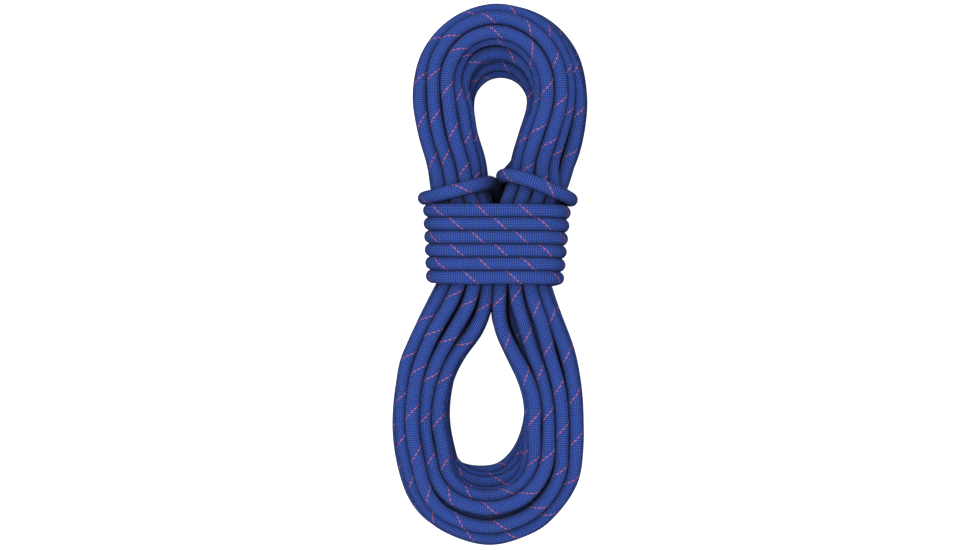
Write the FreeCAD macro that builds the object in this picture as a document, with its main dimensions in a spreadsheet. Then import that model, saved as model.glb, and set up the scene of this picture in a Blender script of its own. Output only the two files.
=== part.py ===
"""Dynamic climbing rope, 10 mm single rope, tied up as a hank with two eyes.

The hank lies on its back on a flat surface. Millimetres. +Y runs along the hank towards its upper eye,
+X across it, +Z up from the surface. The origin is on the surface, under the middle of the hank.
"""

import FreeCAD, Part
import math
import os

import Sketcher

os.makedirs("parts", exist_ok=True)
doc = FreeCAD.newDocument("climbing_rope")
Vector = FreeCAD.Vector
Z_AXIS = Vector(0, 0, 1)
TOUCHING = 0.01  # two places this close, in mm, are the same

# ---------------------------------------------------------------- driving dimensions
DIMENSIONS = {
    "rope_diameter": 10.0,
    # turns of the hank: two round loops joined by a narrow waist
    "loop_depth": 64.0,
    "upper_radius": 62.8,
    "upper_x": 7.3,
    "upper_y": 135.0,
    "lower_radius": 70.1,
    "lower_x": 0.0,
    "lower_y": 127.7,
    # corners where the loops run into the binding wraps
    "waist_left": 38.5,
    "waist_right": 52.0,
    "upper_waist_y": 52.7,
    "lower_waist_y": 8.3,
    # the eye through each loop: a large round end, and a small one next to the waist
    "upper_eye_radius": 20.1,
    "upper_eye_x": 8.4,
    "upper_eye_y": 122.3,
    "upper_tip_radius": 6.0,
    "upper_tip_x": 6.0,
    "upper_tip_y": 63.0,
    "lower_eye_radius": 27.8,
    "lower_eye_x": 2.2,
    "lower_eye_y": 111.6,
    "lower_tip_radius": 4.0,
    "lower_tip_x": 1.5,
    "lower_tip_y": 35.4,
    "top_rounding": 16.0,
    "bottom_rounding": 9.0,
    "eye_rounding": 6.0,
    # bundle of strands inside the binding wraps
    "bundle_width": 88.0,
    "bundle_depth": 61.0,
    "bundle_x": 5.6,
    "bundle_rounding": 18.0,
    "wrap_count": 6.0,
    "wrap_pitch": 10.0,
    "wrap_bottom_y": 7.8,
    "clearance": 0.3,
    "tunnel_drop": 0.8,
    # kernmantle construction and the finished ends
    "sheath_bore": 7.4,
    "strand_diameter": 2.35,
    "strand_pitch": 2.45,
    "sleeve_wall": 0.5,
    "sleeve_length": 20.0,
    "tip_length": 2.4,
    "tip_rounding": 1.2,
}

sheet = doc.addObject("Spreadsheet::Sheet", "Dims")
for row, (alias, value) in enumerate(DIMENSIONS.items(), start=1):
    sheet.set(f"A{row}", alias)
    sheet.set(f"B{row}", str(value))
    sheet.setAlias(f"B{row}", alias)
doc.recompute()


def size(alias):
    """Value of one driving dimension, read from the sheet."""
    return float(sheet.get(alias))


def bind(item, prop, expression):
    """Tie a property to an expression over the sheet."""
    item.setExpression(prop, expression)


ROPE_RADIUS = size("rope_diameter") / 2
FLOOR_Z = ROPE_RADIUS + size("sleeve_wall") + size("clearance")  # height of a tail's centreline

# ---------------------------------------------------------------- routes of the uncoiled stretches
# The first end: it comes out of the turns under the lower left leg and lies along it on the surface.
START_TAIL = [
    (-17, -22, FLOOR_Z),
    (-29, -57, FLOOR_Z),
    (-47, -92, FLOOR_Z),
    (-57, -129, FLOOR_Z),
]

# The lock: from the last wrap at the back, up between the legs, over the left leg, across the back,
# over the right leg, and down through the eye again. It is pulled tight round the legs, so the
# rounded edges of the legs set its radii.
LOCK_LOOP = [
    (-20, 47.5, FLOOR_Z),
    (-10, 48.5, FLOOR_Z),
    (-1, 50.5, FLOOR_Z + 0.4),
    (5, 55, 10),
    (6, 61.5, 18.5),
    (4, 66, 31),
    (1, 67.5, 47),
    (-2.5, 66, 63),
    (-11, 63.5, 73.5),
    (-27, 59.5, 75),
    (-41, 57, 66),
    (-47, 56.5, 51),
    (-47, 57, 33),
    (-43, 58.5, 16),
    (-32, 60.5, 7),
    (-15, 64.3, FLOOR_Z),
    (5, 66.3, FLOOR_Z - 0.4),
    (25, 64.5, FLOOR_Z),
    (43, 60, 7),
    (55, 56.5, 16),
    (59.5, 55, 32),
    (60, 54.5, 50),
    (55.5, 56.5, 65),
    (44.5, 61, 74),
    (30, 67, 77),
    (17, 71, 75.5),
    (10, 71.5, 64),
    (11, 71, 46),
    (11.5, 71, 27),
    (14, 74, 12),
    (20.5, 82, FLOOR_Z),
    (26, 91, FLOOR_Z),
]

# The last end: it goes on under the upper right leg.
FINISH_TAIL = [
    (26, 91, FLOOR_Z),
    (33, 102, FLOOR_Z),
    (41, 126, FLOOR_Z),
    (31, 162, FLOOR_Z),
]

ARC_SHARE = 0.45  # share of the shorter run that an arc takes up
VOLUME_DRIFT = 0.03  # most that a swept volume may differ from section times length


def rounded_wire(points):
    """Straight runs joined by tangent arcs, each arc as large as its two runs allow."""
    corners = [Vector(*p) for p in points]
    edges = []
    last = corners[0]
    for before, corner, after in zip(corners, corners[1:], corners[2:]):
        back = (before - corner).normalize()
        ahead = (after - corner).normalize()
        tangent = ARC_SHARE * min((before - corner).Length, (after - corner).Length)
        half_turn = (math.pi - back.getAngle(ahead)) / 2
        radius = tangent / math.tan(half_turn)
        enter = corner + back * tangent
        leave = corner + ahead * tangent
        bisector = (back + ahead).normalize()
        middle = corner + bisector * (radius / math.cos(half_turn) - radius)
        edges.append(Part.LineSegment(last, enter).toShape())
        edges.append(Part.Arc(enter, middle, leave).toShape())
        last = leave
    edges.append(Part.LineSegment(last, corners[-1]).toShape())
    return Part.Wire(edges)


def print_route(label, points):
    """Length of a stretch, its shortest and longest run, and the radius of each arc in turn."""
    wire = rounded_wire(points)
    runs = [(Vector(*b) - Vector(*a)).Length for a, b in zip(points, points[1:])]
    radii = [edge.Curve.Radius for edge in wire.Edges if edge.Curve.TypeId == "Part::GeomCircle"]
    print(f"{label}: length {wire.Length:.1f} mm, runs {min(runs):.1f} to {max(runs):.1f} mm, arc radii")
    print("   ", " ".join(f"{radius:.0f}" for radius in radii))


def swept(points, radius, label, offset=(0.0, 0.0)):
    """Round solid along a route; offset moves its section sideways and up from the route."""
    wire = rounded_wire(points)
    start, second = Vector(*points[0]), Vector(*points[1])
    heading = (second - start).normalize()
    side = heading.cross(Z_AXIS).normalize()
    centre = start + side * offset[0] + side.cross(heading) * offset[1]
    section = Part.Wire([Part.makeCircle(radius, centre, heading)])
    solid = wire.makePipeShell([section], True, False)
    straight = math.pi * radius**2 * wire.Length
    drift = abs(solid.Volume - straight) / straight
    if drift > VOLUME_DRIFT:
        raise RuntimeError(f"{label}: the volume is {drift:.1%} away from section times length")
    return solid


def feature(label, shape, placement=FreeCAD.Placement()):
    """A document object whose shape is set by Part's own functions."""
    item = doc.addObject("Part::Feature", label)
    item.Label = label
    item.Shape = shape
    item.Placement = placement
    return item


# ---------------------------------------------------------------- sketches of the loops
def origin_plane(body, role):
    return next(plane for plane in body.Origin.OriginFeatures if plane.Role == role)


def new_body_sketch(body, name):
    sketch = body.newObject("Sketcher::SketchObject", name)
    sketch.AttachmentSupport = [(origin_plane(body, "XY_Plane"), "")]
    sketch.MapMode = "FlatFace"
    return sketch


def pin_coordinate(sketch, kind, geometry, point, sign, alias):
    """Hold one coordinate of a point at sign times a driving dimension."""
    ends = (-1, 1, geometry, point) if sign > 0 else (geometry, point, -1, 1)
    index = sketch.addConstraint(Sketcher.Constraint(kind, *ends, size(alias)))
    sketch.setExpression(f"Constraints[{index}]", f"Dims.{alias}")


def pin_radius(sketch, geometry, alias):
    index = sketch.addConstraint(Sketcher.Constraint("Radius", geometry, size(alias)))
    sketch.setExpression(f"Constraints[{index}]", f"Dims.{alias}")


def tangent_points(centre, radius, far, far_radius, side):
    """Where the outer tangent on one side touches a circle and a second, far circle."""
    reach = far - centre
    lean = side * math.acos((radius - far_radius) / reach.Length)
    angle = math.atan2(reach.y, reach.x) + lean
    direction = Vector(math.cos(angle), math.sin(angle), 0)
    return centre + direction * radius, far + direction * far_radius, angle


def arc_of(centre, radius, start_angle, end_angle):
    circle = Part.Circle(centre, Z_AXIS, radius)
    return Part.ArcOfCircle(circle, start_angle, end_angle)


def join_tangent(sketch, pairs):
    for first, first_end, second, second_end in pairs:
        sketch.addConstraint(Sketcher.Constraint("Tangent", first, first_end, second, second_end))


def eye_outline(sketch, side, eye, tip, x_sign):
    """Teardrop: a large and a small arc joined by two tangent lines."""
    centre = Vector(x_sign * size(f"{eye}_x"), side * size(f"{eye}_y"), 0)
    far = Vector(size(f"{tip}_x"), side * size(f"{tip}_y"), 0)
    radius, far_radius = size(f"{eye}_radius"), size(f"{tip}_radius")
    left, far_left, left_angle = tangent_points(centre, radius, far, far_radius, 1)
    right, far_right, right_angle = tangent_points(centre, radius, far, far_radius, -1)
    first = sketch.addGeometry(arc_of(centre, radius, left_angle, right_angle + 2 * math.pi))
    second = sketch.addGeometry(arc_of(far, far_radius, right_angle, left_angle))
    left_line = sketch.addGeometry(Part.LineSegment(left, far_left))
    right_line = sketch.addGeometry(Part.LineSegment(far_right, right))
    join_tangent(
        sketch,
        [
            (first, 1, left_line, 1),
            (left_line, 2, second, 2),
            (second, 1, right_line, 1),
            (right_line, 2, first, 2),
        ],
    )
    for arc, name, sign in ((first, eye, x_sign), (second, tip, 1)):
        pin_radius(sketch, arc, f"{name}_radius")
        pin_coordinate(sketch, "DistanceX", arc, 3, sign, f"{name}_x")
        pin_coordinate(sketch, "DistanceY", arc, 3, side, f"{name}_y")


def loop_outline(sketch, side, loop, waist_sign):
    """Outer outline of one loop: a large arc, two tangent flanks, and the edge at the wraps."""
    centre = Vector(size(f"{loop}_x"), side * size(f"{loop}_y"), 0)
    radius = size(f"{loop}_radius")
    waist_y = waist_sign * size(f"{loop}_waist_y")
    corners = {
        -side: Vector(size("waist_right"), waist_y, 0),
        side: Vector(-size("waist_left"), waist_y, 0),
    }
    touch = {}
    for turn, corner in corners.items():
        touch[turn] = tangent_points(centre, radius, corner, 0.0, -turn)
    first, second = touch[1], touch[-1]
    arc = sketch.addGeometry(arc_of(centre, radius, second[2], first[2] + 2 * math.pi))
    out_line = sketch.addGeometry(Part.LineSegment(first[0], corners[1]))
    waist_line = sketch.addGeometry(Part.LineSegment(corners[1], corners[-1]))
    in_line = sketch.addGeometry(Part.LineSegment(corners[-1], second[0]))
    join_tangent(sketch, [(arc, 2, out_line, 1), (in_line, 2, arc, 1)])
    sketch.addConstraint(Sketcher.Constraint("Coincident", out_line, 2, waist_line, 1))
    sketch.addConstraint(Sketcher.Constraint("Coincident", waist_line, 2, in_line, 1))
    pin_radius(sketch, arc, f"{loop}_radius")
    pin_coordinate(sketch, "DistanceX", arc, 3, 1, f"{loop}_x")
    pin_coordinate(sketch, "DistanceY", arc, 3, side, f"{loop}_y")
    for end, turn in ((1, 1), (2, -1)):
        right = corners[turn].x > 0
        alias = "waist_right" if right else "waist_left"
        pin_coordinate(sketch, "DistanceX", waist_line, end, 1 if right else -1, alias)
        pin_coordinate(sketch, "DistanceY", waist_line, end, waist_sign, f"{loop}_waist_y")


def loop_body(loop, side, waist_sign, eye_sign):
    """One loop of the hank: a plate with its eye, and rounded top and bottom edges."""
    body = doc.addObject("PartDesign::Body", f"{loop}_loop")
    sketch = new_body_sketch(body, f"{loop}_outline")
    loop_outline(sketch, side, loop, waist_sign)
    eye_outline(sketch, side, f"{loop}_eye", f"{loop}_tip", eye_sign)
    pad = body.newObject("PartDesign::Pad", f"{loop}_pad")
    pad.Profile = sketch
    bind(pad, "Length", "Dims.loop_depth")
    doc.recompute()
    waist_y = waist_sign * size(f"{loop}_waist_y")
    for level, rounding in ((size("loop_depth"), "top_rounding"), (0.0, "bottom_rounding")):
        round_rim(body, f"{loop}_{rounding}", rounding, rim_edges(body, level, waist_y, False))
        round_rim(body, f"{loop}_eye_{rounding}", "eye_rounding", rim_edges(body, level, waist_y, True))
    return body


def round_rim(body, name, rounding, edges):
    base = body.Tip
    fillet = body.newObject("PartDesign::Fillet", name)
    fillet.Base = (base, edges)
    bind(fillet, "Radius", f"Dims.{rounding}")
    doc.recompute()


def rim_edges(body, level, waist_y, of_eye):
    """Names of the edges at one level: the eye's, or the outer ones that aren't at the wraps."""
    shape = body.Tip.Shape
    flat = next(
        face
        for face in shape.Faces
        if abs(face.BoundBox.ZMin - level) < TOUCHING and abs(face.BoundBox.ZMax - level) < TOUCHING
    )
    outer = flat.OuterWire
    names = []
    for number, edge in enumerate(shape.Edges, start=1):
        box = edge.BoundBox
        on_flat = any(edge.isSame(other) for other in flat.Edges)
        on_outer = any(edge.isSame(other) for other in outer.Edges)
        at_waist = abs(box.YMin - waist_y) < TOUCHING and abs(box.YMax - waist_y) < TOUCHING
        if on_flat and not at_waist and on_outer != of_eye:
            names.append(f"Edge{number}")
    return names


# ---------------------------------------------------------------- solids round the waist
def waist_bar(label, width, depth, length, bottom_y, rounding):
    """Bar along Y with rounded corners, centred on the bundle; all but rounding are expressions."""
    block = doc.addObject("Part::Box", f"{label}_block")
    bind(block, "Length", width)
    bind(block, "Width", length)
    bind(block, "Height", depth)
    bind(block, "Placement.Base.x", f"Dims.bundle_x - ({width}) / 2")
    bind(block, "Placement.Base.y", bottom_y)
    bind(block, "Placement.Base.z", f"Dims.rope_diameter + Dims.bundle_depth / 2 - ({depth}) / 2")
    doc.recompute()
    corners = [
        number
        for number, edge in enumerate(block.Shape.Edges, start=1)
        if edge.BoundBox.XLength + edge.BoundBox.ZLength < TOUCHING
    ]
    bar = doc.addObject("Part::Fillet", label)
    bar.Base = block
    bar.Edges = [(number, rounding, rounding) for number in corners]
    return bar


def difference(label, base, tool):
    cut = doc.addObject("Part::Cut", label)
    cut.Label = label
    cut.Base = base
    cut.Tool = tool
    return cut


def hank_turns():
    """Outer shape of all the turns: two loops and the bundle of strands between them."""
    upper = loop_body("upper", 1, 1, 1)
    lower = loop_body("lower", -1, -1, -1)
    waist = waist_bar(
        "waist_bundle",
        "Dims.bundle_width - 2 * Dims.clearance",
        "Dims.bundle_depth - 2 * Dims.clearance",
        "Dims.upper_waist_y + Dims.lower_waist_y",
        "-Dims.lower_waist_y",
        size("bundle_rounding") - size("clearance"),
    )
    whole = doc.addObject("Part::MultiFuse", "whole_hank")
    whole.Shapes = [upper, waist, lower]
    whole.Refine = True
    tunnels = [
        tunnel("start_tunnel", START_TAIL, size("sleeve_wall")),
        end_room("start_tunnel_end", START_TAIL),
        tunnel("finish_tunnel", FINISH_TAIL, size("sleeve_wall")),
        end_room("finish_tunnel_end", FINISH_TAIL),
        tunnel("lock_tunnel", LOCK_LOOP, 0.0),
    ]
    turns = whole
    for number, room in enumerate(tunnels, start=1):
        turns = difference(f"turns_cut_{number}", turns, room)
    turns.Label = "hank_turns"
    return turns


def tunnel_radius(cover):
    """Rope or cover radius with clearance, and the depth by which a tunnel is let into the surface."""
    return ROPE_RADIUS + cover + size("clearance") + size("tunnel_drop")


def tunnel(label, points, cover):
    """Room for a stretch of rope through the turns; it is let down, so it is open to the surface."""
    lowered = [(x, y, z - size("tunnel_drop")) for x, y, z in points]
    return feature(label, swept(lowered, tunnel_radius(cover), label))


def end_room(label, points):
    """Room past the end of a tail, for its fused tip."""
    place = along_last_run(points, 0.0)
    place.Base.z -= size("tunnel_drop")
    room = Part.makeCylinder(tunnel_radius(size("sleeve_wall")), 2 * size("tip_length"))
    return feature(label, room, place)


def binding_wraps():
    """Outer shape of the tight wraps round the waist: a rounded ring one rope thick."""
    length = "Dims.wrap_count * Dims.wrap_pitch"
    outside = waist_bar(
        "wraps_outside",
        "Dims.bundle_width + 2 * Dims.rope_diameter",
        "Dims.bundle_depth + 2 * Dims.rope_diameter",
        length,
        "-Dims.wrap_bottom_y",
        size("bundle_rounding") + size("rope_diameter"),
    )
    inside = waist_bar(
        "wraps_inside",
        "Dims.bundle_width",
        "Dims.bundle_depth",
        length,
        "-Dims.wrap_bottom_y",
        size("bundle_rounding"),
    )
    return difference("binding_wraps", outside, inside)


# ---------------------------------------------------------------- tails and ends
def tail_pieces(end, points):
    """One tail: braided sheath, core strands, end sleeve and fused tip."""
    outside = swept(points, ROPE_RADIUS, f"{end} tail")
    bore = swept(points, size("sheath_bore") / 2, f"{end} tail bore")
    sheath = feature(f"{end}_tail_sheath", outside.cut(bore))
    offsets = [(0.0, 0.0)]
    for number in range(6):
        angle = number * math.pi / 3
        offsets.append((size("strand_pitch") * math.cos(angle), size("strand_pitch") * math.sin(angle)))
    strands = [swept(points, size("strand_diameter") / 2, f"{end} core strand", at) for at in offsets]
    core = feature(f"{end}_tail_core", Part.makeCompound(strands))
    return [sheath, core, end_sleeve(end, points), fused_tip(end, points)]


def along_last_run(points, back):
    """Placement on a tail's centreline, a distance back from its end, with Z along the tail."""
    last = Vector(*points[-1])
    heading = (last - Vector(*points[-2])).normalize()
    return FreeCAD.Placement(last - heading * back, FreeCAD.Rotation(Z_AXIS, heading))


def round_bar(label, radius, length, placement):
    bar = doc.addObject("Part::Cylinder", label)
    bind(bar, "Radius", radius)
    bind(bar, "Height", length)
    bar.Placement = placement
    return bar


def end_sleeve(end, points):
    """Blank shrink sleeve over the last straight stretch of the sheath."""
    place = along_last_run(points, size("sleeve_length"))
    outer_radius = "Dims.rope_diameter / 2 + Dims.sleeve_wall"
    outside = round_bar(f"{end}_sleeve_outside", outer_radius, "Dims.sleeve_length", place)
    inside = round_bar(f"{end}_sleeve_inside", "Dims.rope_diameter / 2", "Dims.sleeve_length", place)
    return difference(f"{end}_end_sleeve", outside, inside)


def fused_tip(end, points):
    """Melted end where sheath and core are welded together, with a rounded rim."""
    place = along_last_run(points, 0.0)
    blank = round_bar(f"{end}_tip_blank", "Dims.rope_diameter / 2", "Dims.tip_length", place)
    doc.recompute()
    far = place.multVec(Vector(0, 0, size("tip_length")))
    rims = [
        number
        for number, edge in enumerate(blank.Shape.Edges, start=1)
        if edge.Curve.TypeId == "Part::GeomCircle" and edge.Curve.Center.distanceToPoint(far) < TOUCHING
    ]
    tip = doc.addObject("Part::Fillet", f"{end}_fused_tip")
    tip.Label = f"{end}_fused_tip"
    tip.Base = blank
    tip.Edges = [(number, size("tip_rounding"), size("tip_rounding")) for number in rims]
    return tip


def lock_loop():
    return feature("lock_loop", swept(LOCK_LOOP, ROPE_RADIUS, "lock loop"))


# ---------------------------------------------------------------- build, check, write
for name, route in (("start tail", START_TAIL), ("lock loop", LOCK_LOOP), ("finish tail", FINISH_TAIL)):
    print_route(name, route)

nodes = [hank_turns(), binding_wraps(), lock_loop()]
nodes += tail_pieces("start", START_TAIL)
nodes += tail_pieces("finish", FINISH_TAIL)
doc.recompute()

for item in doc.Objects:
    if "Invalid" in item.State or "Error" in item.State:
        raise RuntimeError(f"{item.Label} did not recompute: {item.State}")
for node in nodes:
    if node.Shape.isNull() or not node.Shape.isValid():
        raise RuntimeError(f"{node.Label} has no valid shape")

for node in nodes:
    node.Shape.exportStep(f"parts/{node.Label}.step")
    box = node.Shape.BoundBox
    print(
        f"{node.Label}: solids {len(node.Shape.Solids)}, volume {node.Shape.Volume:.0f} mm3,"
        f" x {box.XMin:.1f}..{box.XMax:.1f}, y {box.YMin:.1f}..{box.YMax:.1f},"
        f" z {box.ZMin:.1f}..{box.ZMax:.1f}"
    )
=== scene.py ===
import math

import bpy
import numpy as np
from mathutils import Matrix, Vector


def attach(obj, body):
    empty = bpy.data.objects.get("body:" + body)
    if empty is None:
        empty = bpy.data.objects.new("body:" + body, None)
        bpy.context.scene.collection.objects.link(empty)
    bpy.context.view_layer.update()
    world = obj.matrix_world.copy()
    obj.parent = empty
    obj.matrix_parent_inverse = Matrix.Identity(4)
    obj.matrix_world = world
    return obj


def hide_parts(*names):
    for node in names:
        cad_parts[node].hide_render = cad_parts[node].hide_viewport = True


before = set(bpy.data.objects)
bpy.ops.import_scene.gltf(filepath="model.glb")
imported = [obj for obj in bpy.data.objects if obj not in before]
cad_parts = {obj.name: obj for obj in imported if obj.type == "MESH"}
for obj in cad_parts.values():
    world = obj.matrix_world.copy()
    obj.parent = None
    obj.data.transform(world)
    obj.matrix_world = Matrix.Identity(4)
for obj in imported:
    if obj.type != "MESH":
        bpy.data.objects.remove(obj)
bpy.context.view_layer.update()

MM = 0.001
ROPE = 10.0  # rope diameter, mm; everything that shapes the rope is worked out in mm
RADIUS = ROPE / 2
LYING = 5.8  # height of the centreline of rope that lies on the floor


def add_object(name, data):
    """A new object in the scene, made of this camera, mesh, curve or light."""
    added = bpy.data.objects.new(name, data)
    bpy.context.scene.collection.objects.link(added)
    return added


# ---------------------------------------------------------------- camera
CAMERA_HEIGHT = 1.45
HANK_MIDDLE = 0.04  # the middle height of the hank, m
CAMERA_REACH = CAMERA_HEIGHT - HANK_MIDDLE
PICTURE_WIDTH = 0.714  # what the photograph shows from side to side at the hank's middle height, m
SENSOR_WIDTH = 36.0
camera = add_object("camera", bpy.data.cameras.new("camera"))
bpy.context.scene.camera = camera
camera.location = (0.0, 0.0, CAMERA_HEIGHT)
camera.data.sensor_width = SENSOR_WIDTH
camera.data.lens = SENSOR_WIDTH * CAMERA_REACH / PICTURE_WIDTH

# ---------------------------------------------------------------- shape of the hank
# Stations of one turn, clockwise from the left side of the waist as the camera sees it. Each has the
# centre of the strand next to the eye, the centre of the outermost strand, and the section there.
STATIONS = (
    (0.5, 21, -32.3, 21, "waist"),
    (0.6, 44, -33.2, 44, "waist"),
    (-5, 59, -37.0, 61, "lift"),
    (-7.5, 80, -40.2, 82, "leg"),
    (-13.5, 102, -46.8, 105, "leg"),
    (-16.7, 122, -50.4, 133, "leg"),
    (-13.6, 134.5, -42.8, 164, "shoulder"),
    (-4.2, 144, -21.6, 185, "top"),
    (8.4, 147.4, 7.3, 192.8, "top"),
    (21, 144, 36.2, 185, "brow"),
    (30.3, 134.5, 56.8, 164, "temple"),
    (33.2, 120, 64.9, 135, "cheek"),
    (28, 101, 64.2, 108, "right"),
    (20.8, 79, 58.5, 82, "right"),
    (15.5, 59, 52.0, 61, "fork"),
    (10.6, 44, 44.9, 44, "waist"),
    (10.0, 21, 42.8, 21, "waist"),
    (9.2, 3, 40.0, 3, "waist"),
    (6.9, -19, 44.6, -17, "neck"),
    (8.0, -36, 50.3, -34, "flare"),
    (16.5, -55, 58.7, -58, "leg"),
    (26, -74, 62.9, -84, "leg"),
    (30.7, -92, 63.8, -108, "leg"),
    (30.2, -108, 63.4, -130, "leg"),
    (25.2, -123.5, 59.9, -150, "elbow"),
    (18, -134.5, 48, -168.5, "bottom"),
    (7.5, -142.8, 30.5, -184, "bottom"),
    (-6, -144.6, 0.5, -192.2, "bottom"),
    (-19.5, -142, -31.5, -182, "bottom"),
    (-31, -134.5, -47.5, -166, "elbow"),
    (-36.6, -119.5, -56, -146, "leg"),
    (-39.3, -102.5, -61, -123.5, "leg"),
    (-37.4, -85, -62.3, -102, "leg"),
    (-32, -68, -61.2, -83, "leg"),
    (-22.4, -53, -59.5, -64, "leg"),
    (-9.8, -38, -51.2, -41, "flare"),
    (-2.2, -20, -40.7, -18, "neck"),
    (-0.2, 3, -32.2, 3, "waist"),
)

# A section's rows of strands, from the floor up: how far the first and the last strand are from the eye's
# side, as a share of the leg's width, their heights, and how much the row sags between them.
ROW_COUNTS = (2, 3, 4, 4, 4, 3, 2)
SECTIONS = {
    "waist": (
        (0.15, 0.75, 15, 15, 0),
        (0.0, 1.0, 24, 24, 2),
        (0.0, 1.0, 33, 33, 0),
        (0.0, 1.0, 42, 42, 0),
        (0.0, 1.0, 51.5, 50.5, 3),
        (0.0, 0.97, 61.5, 60, 3),
        (0.32, 0.66, 66, 66, 0),
    ),
    "leg": (
        (0.0, 0.75, 5, 5, 0),
        (0.0, 1.0, 14.5, 14.5, 0),
        (0.0, 1.0, 24.5, 24.5, 0),
        (0.0, 1.0, 34.5, 34, 0),
        (0.0, 1.0, 44.5, 43.5, 0),
        (0.05, 1.0, 54.5, 53.5, 7),
        (0.36, 0.68, 56, 56, 0),
    ),
    "top": (
        (0.6, 0.95, 5, 5, 0),
        (0.02, 1.0, 14.5, 14.5, 0),
        (0.15, 1.0, 23.5, 24, 0),
        (0.28, 1.0, 32, 33, 0),
        (0.4, 0.93, 40.5, 41, 1),
        (0.54, 1.0, 48.5, 46.5, 0),
        (0.67, 0.91, 56, 56, 0),
    ),
    "right": (
        (0.6, 0.95, 5, 5, 0),
        (0.0, 1.0, 14, 13, 0),
        (0.0, 1.0, 22.5, 22, 0),
        (0.0, 1.0, 31.5, 31, 0),
        (0.0, 1.0, 40, 41, 0),
        (0.0, 0.72, 48.5, 49, 1),
        (0.18, 0.49, 56, 56, 0),
    ),
    "bottom": (
        (0.0, 0.45, 5, 5, 0),
        (0.0, 1.0, 14.5, 6, 0),
        (0.04, 1.0, 24, 16, 0),
        (0.12, 1.0, 33, 26, 0),
        (0.22, 1.0, 41, 36, 1),
        (0.34, 1.0, 49, 46, 1.5),
        (0.47, 0.81, 56, 55.5, 0),
    ),
}
BLENDS = {
    "flare": ("waist", "leg", 0.4),
    "shoulder": ("leg", "top", 0.6),
    "elbow": ("leg", "bottom", 0.6),
    "brow": ("top", "right", 0.2),
    "temple": ("top", "right", 0.5),
    "cheek": ("top", "right", 0.8),
    "neck": ("waist", "leg", 0.1),
    "lift": ("waist", "leg", 0.1),
    "fork": ("waist", "right", 0.1),
}

# How far the front strands between a leg's sides lean outwards there, to fan out from the wraps.
LEANS = {"neck": 0.04, "flare": 0.08}
FRONT_HEIGHT = 52

# The order in which the turns fill the bundle: a row's letter from the floor up, and the place in the row
# from the eye outwards. It starts and ends on the floor: up the outside, then back down through the middle
# and beside the eye.
WINDING = "a1 b2 c3 d3 e3 f2 g1 g0 f0 e0 e1 f1 e2 d2 c2 b1 c1 d1 d0 c0 b0 a0".split()

# Uncoiled stretches, close to part.py's: the start tail, the bend in which the last
# strand leaves the lower left leg and crosses the back to the first wrap, the lock loop and the finish tail.
START_TAIL = (
    (-57, -129, LYING),
    (-49, -92, LYING),
    (-33, -57, LYING),
    (-25, -36, LYING + 1),
    (-18, -19, 11),
)
BEND = (
    (-21.5, -55, 5.3),
    (-18, -46, 5.4),
    (-13.5, -37, 5.4),
    (-7.5, -28.5, 5.3),
    (-0.5, -21, 5.3),
    (8, -14, 5.3),
)
LOCK_LOOP = (
    (-11, 51.6, LYING),
    (-2.5, 52.2, 6.6),
    (4.6, 54.8, 11.2),
    (7.2, 59.6, 20),
    (5.5, 64.2, 31),
    (1.5, 67.5, 47),
    (-2.5, 66, 63),
    (-11, 63.5, 73.5),
    (-27, 59.5, 75),
    (-41, 56, 66),
    (-47, 55.6, 51),
    (-47, 56.5, 33),
    (-43, 58.5, 16),
    (-32, 60.5, 7),
    (-15, 64.3, LYING),
    (5, 66.3, LYING - 0.4),
    (25, 64.5, LYING),
    (43, 60, 7),
    (55, 56.5, 16),
    (59.5, 55, 32),
    (60, 54.5, 50),
    (55.5, 56.5, 65),
    (44.5, 61, 74),
    (30, 67, 77),
    (20, 70, 76),
    (12.5, 71.5, 69.5),
    (9.5, 71.5, 59),
    (10.5, 71, 46),
    (10.5, 71, 32),
    (11.5, 72.5, 19.5),
    (15, 76.5, 10),
    (20.5, 83, LYING),
)
FINISH_TAIL = (
    (26, 91, LYING),
    (33, 102, LYING),
    (41, 126, LYING),
    (37, 144, LYING),
    (31, 162, LYING),
)
BEND_START_Y = -60  # the last turn is followed down to here

SPACING = 8.0  # between the points that are worked out along the turns and wraps
WRAPS = 6
WRAP_PITCH = 9.5  # fitted to the photo; a little less than the rope's diameter
FIRST_WRAP_Y = -1.5  # where the lowest wrap crosses the middle of the front
WRAP_STEPS = 44  # points worked out on each wrap
SKIPPED_FIRST, SKIPPED_LAST = 1, 3  # points left out where the bend arrives and where the lock loop leaves
CLIMB_SWING = 1.4  # how far a wrap runs ahead of an even climb, so that it climbs mostly across the back
WAIST_Z = 40.5
WRAP_DEPTH = 35.5  # half the wraps' depth, to the rope's centre
SQUARENESS = 4.0  # exponent of the wraps' rounded outline; 2 would be an ellipse
WRAPS_LOW_Y, WRAPS_RISE = -2.3, 50  # the stretch along which the wraps' middle and width change
LOW_MIDDLE, MIDDLE_GAIN = 4.4, 1.4
LOW_HALF_WIDTH, HALF_WIDTH_GAIN = 45.4, 3.6

# How the strands wander on their way round. They wander less near the wraps, and more below them than above.
LOOSENESS = {"waist": 0.0, "neck": 0.0, "flare": 0.3, "fork": 0.3, "lift": 0.3}
SWAY_SEED = 7
SWAY_WAVES = 4  # waves that are added up for each turn
SLOWEST_WAVE = 2  # how often the slowest of them goes up and down in a turn
LOWER_LEGS = 0.45  # share of the stations after which a turn is below the wraps
LOWER_SWAY, UPPER_SWAY = 1.7, 0.6
SWAY_ACROSS, SWAY_UP = 0.5, 0.3  # mm

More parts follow.
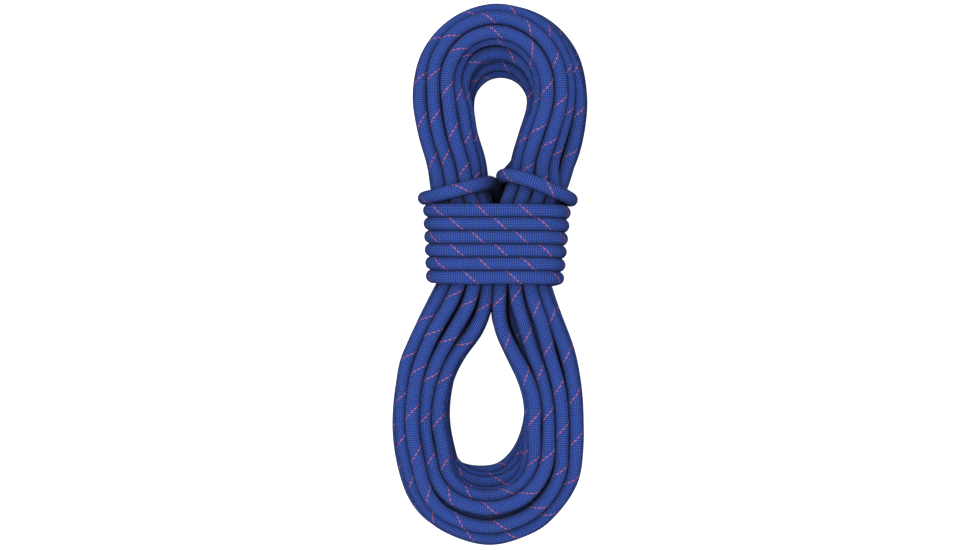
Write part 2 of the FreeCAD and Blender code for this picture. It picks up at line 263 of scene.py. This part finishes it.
# How the turns settle, round by round.
ROUNDS, QUICK_ROUNDS = 300, 60
SEARCH_EVERY = 12  # rounds between searches for strands that could touch
WATCHED_GAP = ROPE + SPACING + 4  # between the middles of two segments that could touch
NEXT_SEGMENTS = 4  # segments nearer than this along the rope aren't taken for touching
FULL_PUSHES = 1.5  # a point that is pushed more often than this in a round moves less for each push
SINK = 0.03  # mm
PULL_BACK = 0.003  # share of its way that a point goes back in the first round; none in the last
SMOOTHING = 0.25
SMOOTHINGS = 2
EYE_SHARE, OUTER_SHARE = 0.2, 0.85  # strands nearer the eye, and nearer the outside, than this are guided
SIDE_ROOM = 0.5  # how far those may move out of the leg, mm
LOWEST = RADIUS + 0.1  # lowest centreline of a strand that is free to move
GUARDED_FROM, GUARDED_TO = -9, 52  # the turns stay inside the wraps between these heights along the bundle


def section_places(name):
    """Share of the leg's width and height of every strand in a section, row by row from the floor."""
    if name in BLENDS:
        first, second, share = BLENDS[name]
        return (1 - share) * section_places(first) + share * section_places(second)
    places = []
    for count, (inner, outer, z_inner, z_outer, sag) in zip(ROW_COUNTS, SECTIONS[name]):
        for t in np.linspace(0, 1, count):
            droop = sag * 4 * t * (1 - t)
            places.append((inner + t * (outer - inner), z_inner + t * (z_outer - z_inner) - droop))
    return np.array(places)


def length_along(points):
    """Length of the line up to each of its points."""
    return np.concatenate(([0], np.cumsum(np.linalg.norm(np.diff(points, axis=0), axis=1))))


def points_at(points, along, at):
    """The places on a line at the given lengths along it."""
    return np.column_stack([np.interp(at, along, column) for column in points.T])


def spaced(points, step):
    """The same line with its points evenly spaced, a step apart."""
    along = length_along(points[:, :3])
    count = max(2, int(round(along[-1] / step)) + 1)
    return points_at(points, along, np.linspace(0, along[-1], count))


def smooth_through(points, step, samples=12):
    """Evenly spaced points, a step apart, on a smooth curve through the given ones."""
    points = np.asarray(points, float)
    points = np.vstack((2 * points[0] - points[1], points, 2 * points[-1] - points[-2]))
    t = np.linspace(0, 1, samples, endpoint=False)[:, None]
    pieces = []
    for before, start, end, after in zip(points, points[1:], points[2:], points[3:]):
        square = (2 * before - 5 * start + 4 * end - after) * t**2
        cube = (3 * start - before - 3 * end + after) * t**3
        pieces.append(0.5 * (2 * start + (end - before) * t + square + cube))
    return spaced(np.vstack(pieces + [points[-2:-1]]), step)


def bspline(points, step, samples=16):
    """Evenly spaced points on the smooth line that a NURBS spline of order 3 makes of these."""
    points = np.asarray(points, float)
    points = np.vstack((points[0], points, points[-1]))
    t = np.linspace(0, 1, samples, endpoint=False)[:, None]
    pieces = [
        0.5 * ((1 - t) ** 2 * before + (1 + 2 * t - 2 * t**2) * middle + t**2 * after)
        for before, middle, after in zip(points, points[1:], points[2:])
    ]
    return spaced(np.vstack(pieces), step)


def waves(amounts, phase):
    """Sum of a turn's waves at a phase; amounts has each wave's cosine and sine part."""
    return sum(
        even * math.cos((m + SLOWEST_WAVE) * phase) + odd * math.sin((m + SLOWEST_WAVE) * phase)
        for m, (even, odd) in enumerate(amounts)
    )


def turns():
    """Points of all the turns, one after the other, before they settle.

    Each row has the place, the direction away from the eye, and the share of the leg's width.
    """
    order = [sum(ROW_COUNTS[: "abcdefg".index(place[0])]) + int(place[1]) for place in WINDING]
    sway = np.random.default_rng(SWAY_SEED).normal(0, 1, (len(order), SWAY_WAVES, 4))
    count = len(STATIONS)
    inner = np.array([station[0:2] for station in STATIONS], float)
    outer = np.array([station[2:4] for station in STATIONS], float)
    sections = [station[4] for station in STATIONS]
    places = np.array([section_places(section) for section in sections])
    line = []
    for n, strand in enumerate(order):
        for k, section in enumerate(sections):
            share, height = places[k, strand]
            if k == 0 and n > 0:
                share, height = (places[k, strand] + places[k, order[n - 1]]) / 2
            phase = 2 * math.pi * k / count
            wave = waves(sway[n, :, 0:2], phase)
            lift = waves(sway[n, :, 2:4], phase)
            loose = LOOSENESS.get(section, 1.0)
            amount = loose * (LOWER_SWAY if k > count * LOWER_LEGS else UPPER_SWAY)
            across = outer[k] - inner[k]
            width = np.linalg.norm(across)
            lean = LEANS.get(section, 0.0) * 4 * share * (1 - share) * (height > FRONT_HEIGHT)
            share = min(max(share + lean + amount * SWAY_ACROSS * wave / width, 0.0), 1.0)
            height = max(RADIUS, height + amount * SWAY_UP * lift)
            # the stations are as seen at the hank's middle height, and a higher strand looks further out
            seen = (CAMERA_HEIGHT - height * MM) / CAMERA_REACH if loose == 1 else 1
            point = (inner[k] + across * share) * seen
            line.append((point[0], point[1], height, *(across / width), share))
    return np.array(line)


def wrap_centre(y):
    """Middle and half width of the wraps at a height along the bundle."""
    share = (y - WRAPS_LOW_Y) / WRAPS_RISE
    return LOW_MIDDLE + MIDDLE_GAIN * share, LOW_HALF_WIDTH + HALF_WIDTH_GAIN * share


def wraps():
    """The tight turns round the waist, from the middle of the back, climbing mostly across the back."""
    line = []
    for k in range(SKIPPED_FIRST, WRAPS * WRAP_STEPS - SKIPPED_LAST):
        u = k / WRAP_STEPS
        y = FIRST_WRAP_Y - WRAP_PITCH / 2 + WRAP_PITCH * u + CLIMB_SWING * math.sin(2 * math.pi * u)
        middle, half = wrap_centre(y)
        sine, cosine = math.sin(2 * math.pi * u), -math.cos(2 * math.pi * u)
        x = middle + half * math.copysign(abs(sine) ** (2 / SQUARENESS), sine)
        z = WAIST_Z + WRAP_DEPTH * math.copysign(abs(cosine) ** (2 / SQUARENESS), cosine)
        line.append((x, y, z))
    return np.array(line)


def close_pairs(points):
    """Pairs of segments that could touch."""
    middle = (points[1:] + points[:-1]) / 2
    square = (middle**2).sum(1)
    gap = square[:, None] + square[None, :] - 2 * middle @ middle.T
    return np.nonzero(np.triu(gap < WATCHED_GAP**2, NEXT_SEGMENTS))


def touching(points, i, j):
    """Nearest places on two segments of each pair, how far apart they are, and the direction between."""
    first, second = points[i + 1] - points[i], points[j + 1] - points[j]
    between = points[i] - points[j]
    first_square, second_square = (first * first).sum(1), (second * second).sum(1)
    both = (first * second).sum(1)
    along_first, along_second = (first * between).sum(1), (second * between).sum(1)
    skew = np.maximum(first_square * second_square - both * both, 1e-6 * first_square * second_square)
    s = np.clip((both * along_second - along_first * second_square) / skew, 0, 1)
    t = np.clip((both * s + along_second) / second_square, 0, 1)
    s = np.clip((both * t - along_first) / first_square, 0, 1)
    away = between + first * s[:, None] - second * t[:, None]
    distance = np.sqrt((away * away).sum(1)) + 1e-9
    return s, t, distance, away / distance[:, None]


def pushed_apart(points, free, i, j):
    """How the points move so that segments that touch are a rope's diameter apart again."""
    s, t, distance, away = touching(points, i, j)
    hit = distance < ROPE
    i, j, s, t, away = i[hit], j[hit], s[hit], t[hit], away[hit]
    ends = ((i, 1 - s, 1), (i + 1, s, 1), (j, 1 - t, -1), (j + 1, t, -1))
    load = sum(free[at] * part**2 for at, part, _ in ends) + 1e-6
    push = (ROPE - distance[hit]) / load
    move = np.zeros_like(points)
    pushes = np.zeros(len(points))
    for at, part, sign in ends:
        for axis in range(3):
            move[:, axis] += np.bincount(at, sign * push * part * free[at] * away[:, axis], len(points))
        pushes += np.bincount(at, part * free[at], len(points))
    return move * (FULL_PUSHES / np.maximum(pushes, FULL_PUSHES)[:, None])


def keep_in_wraps(points, loose):
    """Moves strands that stand out of the wraps back inside them."""
    inside = loose & (points[:, 1] > GUARDED_FROM) & (points[:, 1] < GUARDED_TO)
    middle, half = wrap_centre(points[inside, 1])
    dx, dz = points[inside, 0] - middle, points[inside, 2] - WAIST_Z
    out = (np.abs(dx) / (half - ROPE)) ** SQUARENESS + (np.abs(dz) / (WRAP_DEPTH - ROPE)) ** SQUARENESS
    shrink = np.where(out > 1, out ** (-1 / SQUARENESS), 1)
    points[inside, 0], points[inside, 2] = middle + dx * shrink, WAIST_Z + dz * shrink


def settle(start, free, across, share, rounds):
    """Moves the turns out of one another and down, smoothly along the rope; 'free' is 0 where it is held."""
    points = start.copy()
    loose = free > 0
    beside_eye = loose & (share < EYE_SHARE)
    outermost = loose & (share > OUTER_SHARE)
    for n in range(rounds):
        if n % SEARCH_EVERY == 0:
            i, j = close_pairs(points)
            movable = (free[i] + free[j]) > 0
            i, j = i[movable], j[movable]
        move = pushed_apart(points, free, i, j)
        move[:, 2] -= SINK * free
        shift = points + move - start
        shift *= 1 - PULL_BACK * (1 - n / rounds)
        for _ in range(SMOOTHINGS):
            bend = shift[2:] + shift[:-2] - 2 * shift[1:-1]
            shift[1:-1] += SMOOTHING * free[1:-1, None] * bend
        shift *= loose[:, None]
        sideways = (shift[:, :2] * across).sum(1)
        excess = np.where(beside_eye, np.minimum(sideways + SIDE_ROOM, 0), 0)
        excess += np.where(outermost, np.maximum(sideways - SIDE_ROOM, 0), 0)
        shift[:, :2] -= across * excess[:, None]
        points = start + shift
        points[:, 2] = np.where(loose, np.maximum(points[:, 2], LOWEST), points[:, 2])
        keep_in_wraps(points, loose)
    return points


def rope_route(rounds):
    """Control points of the rope's NURBS line from end to end, in mm, once the turns have settled."""
    tail = bspline(START_TAIL, SPACING)
    coil = turns()
    coil = smooth_through(np.vstack((np.append(tail[-2], coil[0, 3:]), coil)), SPACING)[1:]
    coil = coil[: np.nonzero(coil[:, 1] < BEND_START_Y)[0][-1] + 1]
    wrap_points = spaced(wraps(), SPACING)
    lock = bspline(LOCK_LOOP + FINISH_TAIL, SPACING)
    chain = np.vstack((tail[:-1], coil[:, :3], BEND, wrap_points, lock))
    first_turn = len(tail) - 1
    first_bend = first_turn + len(coil)
    first_lock = first_bend + len(BEND) + len(wrap_points)
    free, across, share = np.zeros(len(chain)), np.zeros((len(chain), 2)), np.full(len(chain), 0.5)
    free[first_turn:first_bend] = 1.0
    across[first_turn:first_bend] = coil[:, 3:5]
    share[first_turn:first_bend] = coil[:, 5]
    settled = settle(chain, free, across, share, rounds)
    return np.vstack((START_TAIL, settled[first_turn + 1 : first_lock], LOCK_LOOP, FINISH_TAIL))


# ---------------------------------------------------------------- rope
RING_SPACING = 0.0034  # between the rings of the rope's tube, m
UV_NAME = "length_and_angle"


def route_curve(name, points):
    """A curve of one smooth NURBS spline through the route."""
    data = bpy.data.curves.new(name, "CURVE")
    data.dimensions = "3D"
    spline = data.splines.new("NURBS")
    spline.points.add(len(points) - 1)
    spline.points.foreach_set("co", np.column_stack((points, np.ones(len(points)))).ravel())
    spline.order_u = 3
    spline.use_endpoint_u = True
    data.resolution_u = 8
    return add_object(name, data)


def curve_points(curve):
    """Points along a curve that has no bevel."""
    mesh = bpy.data.meshes.new_from_object(curve)
    points = np.empty(len(mesh.vertices) * 3)
    mesh.vertices.foreach_get("co", points)
    bpy.data.meshes.remove(mesh)
    return points.reshape(-1, 3)


def ring_frames(points):
    """Two steady sideways directions at each point."""
    tangent = np.gradient(points, axis=0)
    tangent /= np.linalg.norm(tangent, axis=1)[:, None]
    side = np.empty_like(points)
    start = np.cross(tangent[0], (0.0, 0.0, 1.0))
    side[0] = start / np.linalg.norm(start)
    for k in range(1, len(points)):
        step = side[k - 1] - tangent[k] * (side[k - 1] @ tangent[k])
        side[k] = step / np.linalg.norm(step)
    return side, np.cross(tangent, side)


def ring_vertices(points, radii, around):
    """Corners of a ring round each point; radii is one radius, or one for each ring."""
    side, up = ring_frames(points)
    angle = np.linspace(0, 2 * math.pi, around, endpoint=False)
    ring = side[:, None] * np.cos(angle)[None, :, None] + up[:, None] * np.sin(angle)[None, :, None]
    return (points[:, None] + np.asarray(radii)[..., None, None] * ring).reshape(-1, 3).tolist()


def wall_faces(rings, around):
    """Four-sided faces between each ring and the next."""
    first = np.arange(rings - 1)[:, None] * around
    corner = np.arange(around)[None, :]
    a = (first + corner).ravel()
    b = (first + (corner + 1) % around).ravel()
    return np.column_stack((a, b, b + around, a + around)).tolist()


def smooth_mesh(name, vertices, faces):
    """A mesh that is shaded smooth, with a UV layer still to be filled in."""
    mesh = bpy.data.meshes.new(name)
    mesh.from_pydata(vertices, [], faces)
    mesh.uv_layers.new(name=UV_NAME)
    mesh.polygons.foreach_set("use_smooth", np.ones(len(mesh.polygons), bool))
    return mesh


def tube(name, points, radius, around=16):
    """A round tube along the points; its UV is the length in metres and the share of the way round."""
    mesh = smooth_mesh(name, ring_vertices(points, radius, around), wall_faces(len(points), around))
    along = length_along(points)
    ring = np.repeat(np.arange(len(points) - 1), around)
    turn = np.tile(np.arange(around), len(points) - 1) / around
    corner_u = np.column_stack((along[ring], along[ring], along[ring + 1], along[ring + 1]))
    corner_v = np.column_stack((turn, turn + 1 / around, turn + 1 / around, turn))
    mesh.uv_layers[UV_NAME].data.foreach_set("uv", np.dstack((corner_u, corner_v)).ravel())
    return add_object(name, mesh)


curve = route_curve("rope_route", rope_route(ROUNDS) * MM)
line = spaced(curve_points(curve), RING_SPACING)
bpy.data.objects.remove(curve)
rope = tube("rope", line, RADIUS * MM)


# ---------------------------------------------------------------- materials
BRAID_COLUMNS = 24  # columns of yarn round the rope
PICK = 0.0016  # length of rope that one stitch takes up, m
STITCH_SLANT = 0.65  # how far a stitch climbs across its column, as a share of its length
STITCH_ROUNDING, COLUMN_ROUNDING = 1.3, 2.2
VIOLET_YARN, AZURE_YARN = (0.105, 0.125, 0.77, 1), (0.032, 0.21, 0.76, 1)
# painted shade, a dark blue for the valleys between the yarns
PAINTED_SHADE_BETWEEN_YARNS = (0.0015, 0.004, 0.03, 1)
TRACER_RED = (0.6, 0.14, 0.2, 1)
TRACER_LEAD = 0.0307  # length of rope in which the tracer goes round once, m
TRACER_HALF_WIDTH = 0.017  # as a share of the way round
TRACER_DASHES = 12  # in one lead
TRACER_GAP = 0.36  # share of a dash's length that is hidden under other yarns
# painted shade, a near-black blue for crevices where strands lie close
PAINTED_CREVICE_SHADE = (0.001, 0.002, 0.006, 1)
PAINTED_SHADE_REACH = 0.04  # how near another strand has to be for the painted shade to darken this one, m
PAINTED_SHADE_POWER = 0.8

SLEEVE_LINES = 0.002  # between the braid's lines along the sleeve, m
SLEEVE_BLACK, SLEEVE_GREY = (0.006, 0.006, 0.008, 1), (0.03, 0.032, 0.04, 1)
LINE_RELIEF = 0.35  # height of those lines beside the wrinkles'
MELT_DARK, MELT_BLUE = (0.004, 0.008, 0.03, 1), (0.02, 0.035, 0.14, 1)


def new_material(name):
    """A material with its nodes, its links and its main shader."""
    material = bpy.data.materials.new(name)
    material.use_nodes = True
    nodes = material.node_tree.nodes
    return material, nodes, material.node_tree.links, nodes["Principled BSDF"]


def math_node(nodes, links, operation, first, second=None):
    """Result of one operation on numbers or on other nodes' outputs."""
    node = nodes.new("ShaderNodeMath")
    node.operation = operation
    for socket, value in zip(node.inputs, (first, second)):
        if value is None:
            continue
        if isinstance(value, (int, float)):
            socket.default_value = value
        else:
            links.new(value, socket)
    return node.outputs[0]


def mix_colour(nodes, links, share, first, second):
    """The first colour where the share is 0, the second where it is 1."""
    node = nodes.new("ShaderNodeMix")
    node.data_type = "RGBA"
    for socket, value in ((node.inputs[0], share), (node.inputs[6], first), (node.inputs[7], second)):
        if isinstance(value, (tuple, float)):
            socket.default_value = value
        else:
            links.new(value, socket)
    return node.outputs[2]


def rope_coordinates(nodes, links):
    """Length along the rope in metres, and the share of the way round it."""
    uv = nodes.new("ShaderNodeUVMap")
    uv.uv_map = UV_NAME
    split = nodes.new("ShaderNodeSeparateXYZ")
    links.new(uv.outputs[0], split.inputs[0])
    return split.outputs[0], split.outputs[1]


def noise(nodes, scale, detail):
    """A noise texture's value."""
    texture = nodes.new("ShaderNodeTexNoise")
    texture.inputs["Scale"].default_value = scale
    texture.inputs["Detail"].default_value = detail
    return texture.outputs[0]


def add_relief(nodes, links, shader, height, strength, distance):
    """Lets the surface look as if it stood up by a distance, in metres, where the height is 1."""
    bump = nodes.new("ShaderNodeBump")
    bump.inputs["Strength"].default_value = strength
    bump.inputs["Distance"].default_value = distance
    links.new(height, bump.inputs["Height"])
    links.new(bump.outputs[0], shader.inputs["Normal"])


def braid_material():
    """Blue sheath of slanting stitches in columns, with one dashed red tracer, painted shade in the valleys
    between the yarns and painted shade in the crevices between strands.
    """
    material, nodes, links, shader = new_material("braided_sheath")

    def m(operation, first, second=None):
        return math_node(nodes, links, operation, first, second)

    length, turn = rope_coordinates(nodes, links)
    column = m("MULTIPLY", turn, BRAID_COLUMNS)
    centred = m("SUBTRACT", m("FRACT", column), 0.5)
    odd = m("ROUND", m("FRACT", m("MULTIPLY", m("FLOOR", column), 0.5)))
    slant = m("SUBTRACT", m("MULTIPLY", odd, 2.0), 1.0)
    climb = m("MULTIPLY", m("MULTIPLY", slant, centred), STITCH_SLANT)
    in_pick = m("ABSOLUTE", m("SUBTRACT", m("FRACT", m("ADD", m("DIVIDE", length, PICK), climb)), 0.5))
    stitch = m("SUBTRACT", 1.0, m("POWER", m("MULTIPLY", in_pick, 2.0), STITCH_ROUNDING))
    edge = m("SUBTRACT", 1.0, m("POWER", m("MULTIPLY", m("ABSOLUTE", centred), 2.0), COLUMN_ROUNDING))
    height = m("MULTIPLY", stitch, edge)

    dye = nodes.new("ShaderNodeMapRange")
    dye.inputs["From Min"].default_value = 0.36
    dye.inputs["From Max"].default_value = 0.64
    links.new(noise(nodes, scale=520, detail=1), dye.inputs["Value"])
    colour = mix_colour(nodes, links, dye.outputs[0], VIOLET_YARN, AZURE_YARN)
    # Painted shade: the colour darkens to a dark blue in the valleys between the yarns, where the stitch
    # height falls.
    colour = mix_colour(nodes, links, height, PAINTED_SHADE_BETWEEN_YARNS, colour)

    helix = m("FRACT", m("ADD", m("SUBTRACT", turn, m("DIVIDE", length, TRACER_LEAD)), 0.5))
    on_line = m("LESS_THAN", m("ABSOLUTE", m("SUBTRACT", helix, 0.5)), TRACER_HALF_WIDTH)
    dash = m("GREATER_THAN", m("FRACT", m("MULTIPLY", length, TRACER_DASHES / TRACER_LEAD)), TRACER_GAP)
    colour = mix_colour(nodes, links, m("MULTIPLY", on_line, dash), colour, TRACER_RED)

    # Painted shade: an ambient occlusion node darkens the base colour to near black where other strands are
    # close, in the crevices between strands and on the eyes' inner walls.
    painted_shade_ao = nodes.new("ShaderNodeAmbientOcclusion")
    painted_shade_ao.samples = 6
    painted_shade_ao.inputs["Distance"].default_value = PAINTED_SHADE_REACH
    unshaded_share = m("POWER", painted_shade_ao.outputs["AO"], PAINTED_SHADE_POWER)
    colour = mix_colour(nodes, links, unshaded_share, PAINTED_CREVICE_SHADE, colour)
    links.new(colour, shader.inputs["Base Color"])

    add_relief(nodes, links, shader, height, strength=0.9, distance=0.0006)
    shader.inputs["Roughness"].default_value = 0.6
    shader.inputs["Specular IOR Level"].default_value = 0.2
    shader.inputs["Sheen Weight"].default_value = 0.08
    shader.inputs["Sheen Roughness"].default_value = 0.4
    shader.inputs["Sheen Tint"].default_value = (0.35, 0.45, 0.9, 1)
    return material


def sleeve_material():
    """Thin matte shrink film, with the lines of the braid just showing through and fine wrinkles."""
    material, nodes, links, shader = new_material("shrink_sleeve")

    def m(operation, first, second=None):
        return math_node(nodes, links, operation, first, second)

    length, turn = rope_coordinates(nodes, links)
    round_lines = m("SINE", m("MULTIPLY", turn, 2 * math.pi * BRAID_COLUMNS))
    long_lines = m("SINE", m("MULTIPLY", length, 2 * math.pi / SLEEVE_LINES))
    wrinkles = noise(nodes, scale=420, detail=3)
    relief = m("ADD", m("MULTIPLY", m("MULTIPLY", round_lines, long_lines), LINE_RELIEF), wrinkles)
    colour = mix_colour(nodes, links, wrinkles, SLEEVE_BLACK, SLEEVE_GREY)
    links.new(colour, shader.inputs["Base Color"])
    add_relief(nodes, links, shader, relief, strength=0.4, distance=0.0002)
    shader.inputs["Roughness"].default_value = 0.42
    return material


def fused_material():
    """Nylon melted together: smooth, dark and slightly marbled."""
    material, nodes, links, shader = new_material("fused_nylon")
    marble = noise(nodes, scale=600, detail=4)
    links.new(mix_colour(nodes, links, marble, MELT_DARK, MELT_BLUE), shader.inputs["Base Color"])
    add_relief(nodes, links, shader, marble, strength=0.5, distance=0.0003)
    shader.inputs["Roughness"].default_value = 0.3
    return material


rope.data.materials.append(braid_material())
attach(rope, "root")
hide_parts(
    "hank_turns",
    "binding_wraps",
    "lock_loop",
    "start_tail_sheath",
    "start_tail_core",
    "finish_tail_sheath",
    "finish_tail_core",
)

# ---------------------------------------------------------------- ends of the rope, in metres
END_POINTS = 20  # points of the rope's line that the pieces on an end follow
SLEEVE_LENGTH = 0.020
SLEEVE_WALL = 0.0005
SLEEVE_RIM = 0.0015  # length of the rounded rim at each end of a sleeve
SLEEVE_RINGS = 14  # between the rims
RIM_PLACES = (0, 0.0003, 0.0007)
RIM_SWELL = (-SLEEVE_WALL, -0.00015, 0.0)
RIPPLES = ((0.00006, 2100), (0.00004, 3900))  # height, and radians in a metre
TIP_DEPTHS = (-0.0004, 0.0, 0.0008, 0.0014, 0.0019, 0.0022, 0.0024)  # beyond the rope's end
TIP_RADII = (0.99, 1.0, 1.03, 0.98, 0.86, 0.62, 0.3)  # as a share of the rope's radius


def turned(name, places, radii, around=40):
    """Closed round piece: one ring of the given radius at each place along a line."""
    rings = len(places)
    faces = wall_faces(rings, around)
    faces.append(list(range(around))[::-1])
    faces.append([(rings - 1) * around + n for n in range(around)])
    mesh = smooth_mesh(name, ring_vertices(places, radii, around), faces)
    along = length_along(places)
    uv = mesh.uv_layers[UV_NAME].data
    for loop in mesh.loops:
        ring, corner = divmod(loop.vertex_index, around)
        uv[loop.index].uv = (along[ring], corner / around)
    return add_object(name, mesh)


def end_sleeve(name, run):
    """Blank shrink sleeve with rounded rims; run is the rope's line back from its end."""
    at = np.concatenate((RIM_PLACES, np.linspace(SLEEVE_RIM, SLEEVE_LENGTH - SLEEVE_RIM, SLEEVE_RINGS)))
    at = np.concatenate((at, SLEEVE_LENGTH - at[2::-1]))
    swell = np.concatenate((RIM_SWELL, np.zeros(SLEEVE_RINGS), RIM_SWELL[::-1]))
    ripple = sum(height * np.sin(at * radians) for height, radians in RIPPLES)
    places = points_at(run, length_along(run), at)
    return turned(name, places, RADIUS * MM + SLEEVE_WALL + swell + ripple)


def fused_tip(name, run):
    """Rounded end where sheath and core are melted together; run is the rope's line back from its end."""
    heading = (run[0] - run[2]) / np.linalg.norm(run[0] - run[2])
    places = run[0] + heading * np.array(TIP_DEPTHS)[:, None]
    return turned(name, places, RADIUS * MM * np.array(TIP_RADII))


sleeve_film = sleeve_material()
weld = fused_material()
for end, run in (("start", line[:END_POINTS]), ("finish", line[::-1][:END_POINTS])):
    sleeve = end_sleeve(f"{end}_end_sleeve_film", run)
    tip = fused_tip(f"{end}_fused_tip_weld", run)
    for piece, node, slot, material in (
        (sleeve, f"{end}_end_sleeve", "end_sleeve", sleeve_film),
        (tip, f"{end}_fused_tip", "fused_end", weld),
    ):
        piece.data.materials.append(material)
        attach(piece, "root")
        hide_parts(node)

# ---------------------------------------------------------------- floor and light
FLOOR_REACH = 6  # from the middle to the floor's edges, m
FLOOR_GLOW = 0.92
SKY_STRENGTH = 0.43  # looking up; it fades to nothing looking down
SKY_FADE = 0.7  # z of the direction, up and down, at which the fade is over
LIGHT_SIZE = 0.6
LIGHT_AIM = (0, 0, HANK_MIDDLE)


def add_floor():
    """A glowing floor that looks white, hidden from the rays that would light the strands from below."""
    mesh = bpy.data.meshes.new("floor")
    corners = [(x * FLOOR_REACH, y * FLOOR_REACH, 0) for x, y in ((-1, -1), (1, -1), (1, 1), (-1, 1))]
    mesh.from_pydata(corners, [], [(0, 1, 2, 3)])
    material, _, _, shader = new_material("pale_floor")
    shader.inputs["Base Color"].default_value = (0.5, 0.5, 0.5, 1)
    shader.inputs["Emission Color"].default_value = (1, 1, 1, 1)
    shader.inputs["Emission Strength"].default_value = FLOOR_GLOW
    shader.inputs["Roughness"].default_value = 0.9
    mesh.materials.append(material)
    floor = add_object("floor", mesh)
    floor.visible_diffuse = False
    floor.visible_glossy = False


def add_sky():
    """Soft light from above, in a world that the camera itself sees as white."""
    world = bpy.data.worlds.new("studio")
    bpy.context.scene.world = world
    world.use_nodes = True
    nodes, links = world.node_tree.nodes, world.node_tree.links
    direction = nodes.new("ShaderNodeSeparateXYZ")
    links.new(nodes.new("ShaderNodeTexCoord").outputs["Generated"], direction.inputs[0])
    fade = nodes.new("ShaderNodeMapRange")
    fade.inputs["From Min"].default_value = -SKY_FADE
    fade.inputs["From Max"].default_value = SKY_FADE
    fade.inputs["To Max"].default_value = SKY_STRENGTH
    links.new(direction.outputs[2], fade.inputs["Value"])
    strength = nodes.new("ShaderNodeMix")
    strength.inputs["B"].default_value = 1.0
    links.new(nodes.new("ShaderNodeLightPath").outputs["Is Camera Ray"], strength.inputs["Factor"])
    links.new(fade.outputs[0], strength.inputs["A"])
    links.new(strength.outputs[0], nodes["Background"].inputs["Strength"])
    nodes["Background"].inputs["Color"].default_value = (1, 1, 1, 1)


def area_light(name, place, power):
    """A round lamp at a place, turned towards the hank."""
    light = add_object(name, bpy.data.lights.new(name, "AREA"))
    light.data.shape = "DISK"
    light.data.size = LIGHT_SIZE
    light.data.energy = power
    light.location = place
    light.rotation_mode = "QUATERNION"
    light.rotation_quaternion = Vector(np.subtract(LIGHT_AIM, place)).to_track_quat("-Z", "Y")


add_floor()
add_sky()
area_light("key", (-0.3, 0.1, 1.9), power=25)
area_light("fill", (0.4, -0.1, 1.8), power=10)
bpy.context.scene.view_settings.view_transform = "Standard"
